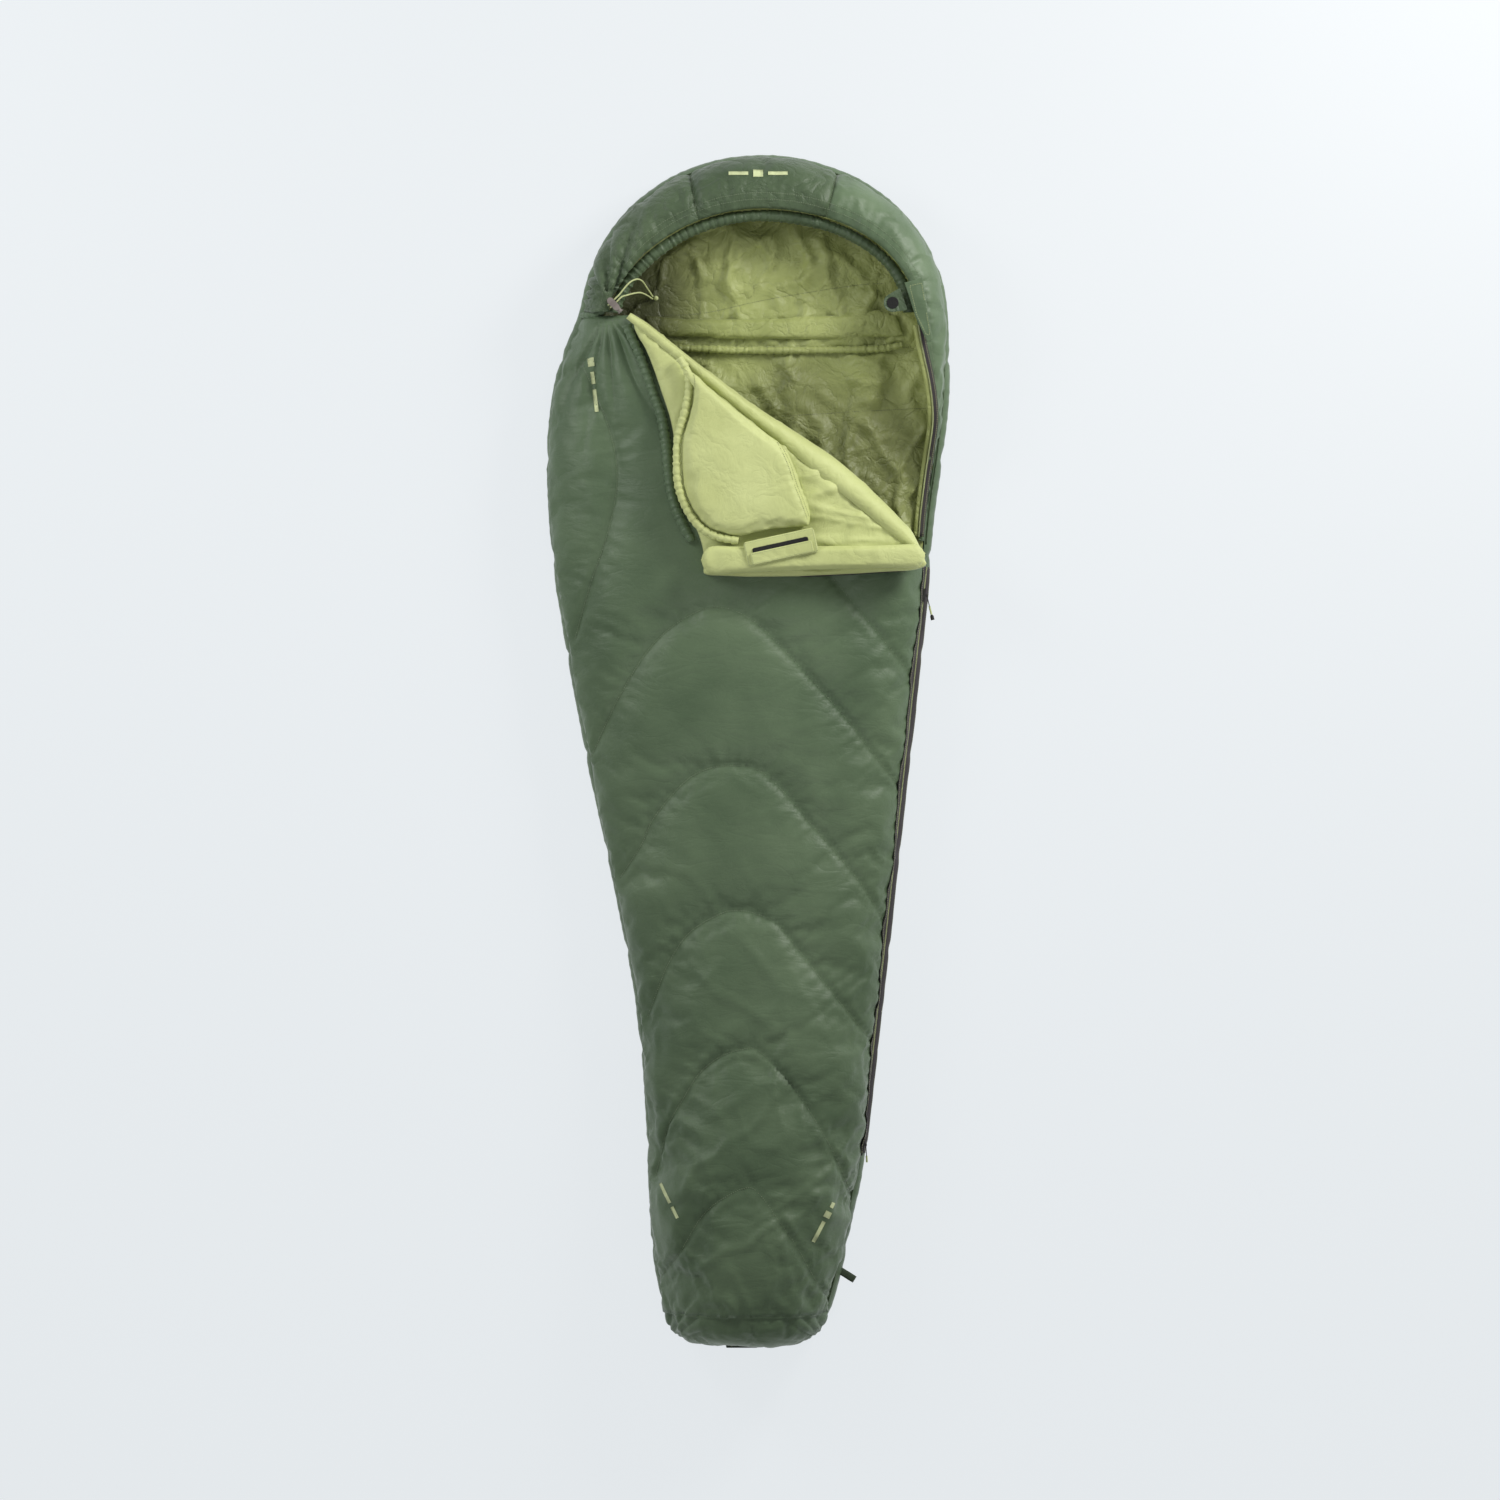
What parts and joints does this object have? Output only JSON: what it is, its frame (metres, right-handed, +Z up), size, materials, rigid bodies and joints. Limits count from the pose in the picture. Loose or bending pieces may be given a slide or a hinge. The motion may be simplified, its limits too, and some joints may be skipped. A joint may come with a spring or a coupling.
{
  "type": "mummy sleeping bag",
  "caption": "Mummy sleeping bag lying on its back, its zipped upper front corner folded open, with a drawcord hood, draft collar and quilted foot box.",
  "frame": {"origin": "on the ground under the middle of the bag's bounding box", "axes": "+Z up, +Y from the foot to the hood, +X to the zip side, with the bag on its back"},
  "size_m": [0.747, 2.2, 0.1986],
  "materials": {
    "shell_fabric": "matte woven polyester",
    "insulation": "lofted synthetic wadding",
    "lining_fabric": "soft woven polyester",
    "collar_fabric": "soft woven polyester",
    "elastic_cord": "braided elastic",
    "lock_plastic": "moulded plastic",
    "spring_steel": "wire",
    "hook_tape": "hook tape",
    "zip_tape": "woven tape",
    "zip_coil": "moulded coil",
    "zip_metal": "painted zinc",
    "bead_plastic": "moulded plastic",
    "webbing": "woven webbing",
    "label": "woven label"
  },
  "bodies": {
    "bag": {"back_shell": "shell_fabric", "back_insulation": "insulation", "back_lining": "lining_fabric", "front_shell": "shell_fabric", "front_insulation": "insulation", "front_lining": "lining_fabric", "foot_panel_shell": "shell_fabric", "foot_panel_insulation": "insulation", "foot_panel_lining": "lining_fabric", "hood_shell_left": "shell_fabric", "hood_shell_centre": "shell_fabric", "hood_shell_right": "shell_fabric", "hood_insulation": "insulation", "hood_lining": "lining_fabric", "hood_hem": "shell_fabric", "hood_drawcord": "elastic_cord", "cord_strand_upper": "elastic_cord", "cord_strand_lower": "elastic_cord", "cord_knot": "elastic_cord", "collar_back": "lining_fabric", "collar_back_channel": "lining_fabric", "draft_tube_lower": "collar_fabric", "zip_tape_back": "zip_tape", "zip_coil_back": "zip_coil", "zip_tape_front": "zip_tape", "zip_coil_front": "zip_coil", "zip_bottom_stop": "zip_metal", "zip_top_stop_back": "zip_metal", "zip_guard": "shell_fabric", "foot_label": "label"},
    "flap": {"flap_shell": "shell_fabric", "flap_insulation": "insulation", "flap_lining": "collar_fabric", "neck_hem": "shell_fabric", "neck_drawcord": "elastic_cord", "collar_front": "collar_fabric", "draft_tube_flap": "collar_fabric", "zip_tape_flap": "zip_tape", "zip_coil_flap": "zip_coil", "zip_top_stop_flap": "zip_metal"},
    "collar_tab": {"collar_tab": "collar_fabric", "tab_hook_strip": "hook_tape", "tab_cover": "collar_fabric"},
    "zip_guard_tab": {"zip_guard_tab": "shell_fabric", "guard_hook_patch": "hook_tape"},
    "top_slider": {"top_slider": "zip_metal"},
    "top_puller": {"top_pull_tab": "zip_metal", "top_puller_cord": "elastic_cord", "top_puller_bead": "bead_plastic"},
    "bottom_slider": {"bottom_slider": "zip_metal"},
    "bottom_puller": {"bottom_pull_tab": "zip_metal", "bottom_puller_cord": "elastic_cord"},
    "cord_lock": {"cord_lock_body": "lock_plastic", "cord_lock_spring": "spring_steel"},
    "cord_lock_button": {"cord_lock_button": "lock_plastic"},
    "hang_loop": {"hang_loop": "webbing"}
  },
  "joints": [
    {"name": "flap_fold", "type": "hinge", "parent": "bag", "child": "flap", "pos_m": [-0.24, 0.815, 0.1307], "axis": [-0.7758, 0.631, 0], "range_deg": [0, 178]},
    {"name": "collar_tab_fold", "type": "hinge", "parent": "flap", "child": "collar_tab", "pos_m": [-0.01, 0.376, 0.195], "axis": [-0.9769, -0.2137, 0], "range_deg": [0, 165]},
    {"name": "zip_guard_tab_fold", "type": "hinge", "parent": "bag", "child": "zip_guard_tab", "pos_m": [0.278, 0.845, 0.136], "axis": [-0.335, 0.9422, 0], "range_deg": [0, 80]},
    {"name": "top_slider_slide", "type": "slide", "parent": "bag", "child": "top_slider", "axis": [-0.1104, -0.9939, 0], "range_m": [0, 0.62]},
    {"name": "top_puller_turn", "type": "hinge", "parent": "top_slider", "child": "top_puller", "pos_m": [0.32815, 0.28409, 0.056], "axis": [0, 0, 1], "range_deg": [-20, 140]},
    {"name": "bottom_slider_slide", "type": "slide", "parent": "bag", "child": "bottom_slider", "axis": [0.1104, 0.9939, 0], "range_m": [0, 0.36]},
    {"name": "bottom_puller_turn", "type": "hinge", "parent": "bottom_slider", "child": "bottom_puller", "pos_m": [0.21592, -0.726, 0.056], "axis": [0, 0, 1], "range_deg": [-10, 150]},
    {"name": "cord_lock_slide", "type": "slide", "parent": "bag", "child": "cord_lock", "axis": [0.7193, 0.6947, 0], "range_m": [0, 0.012]},
    {"name": "cord_lock_press", "type": "slide", "parent": "cord_lock", "child": "cord_lock_button", "axis": [-0.6947, 0.7193, 0], "range_m": [0, 0.004], "stiffness_N_per_m": 600},
    {"name": "hang_loop_swing", "type": "hinge", "parent": "bag", "child": "hang_loop", "pos_m": [0.17958, -0.966, 0.03], "axis": [0.5299, 0.848, 0], "range_deg": [-35, 35]}
  ]
}
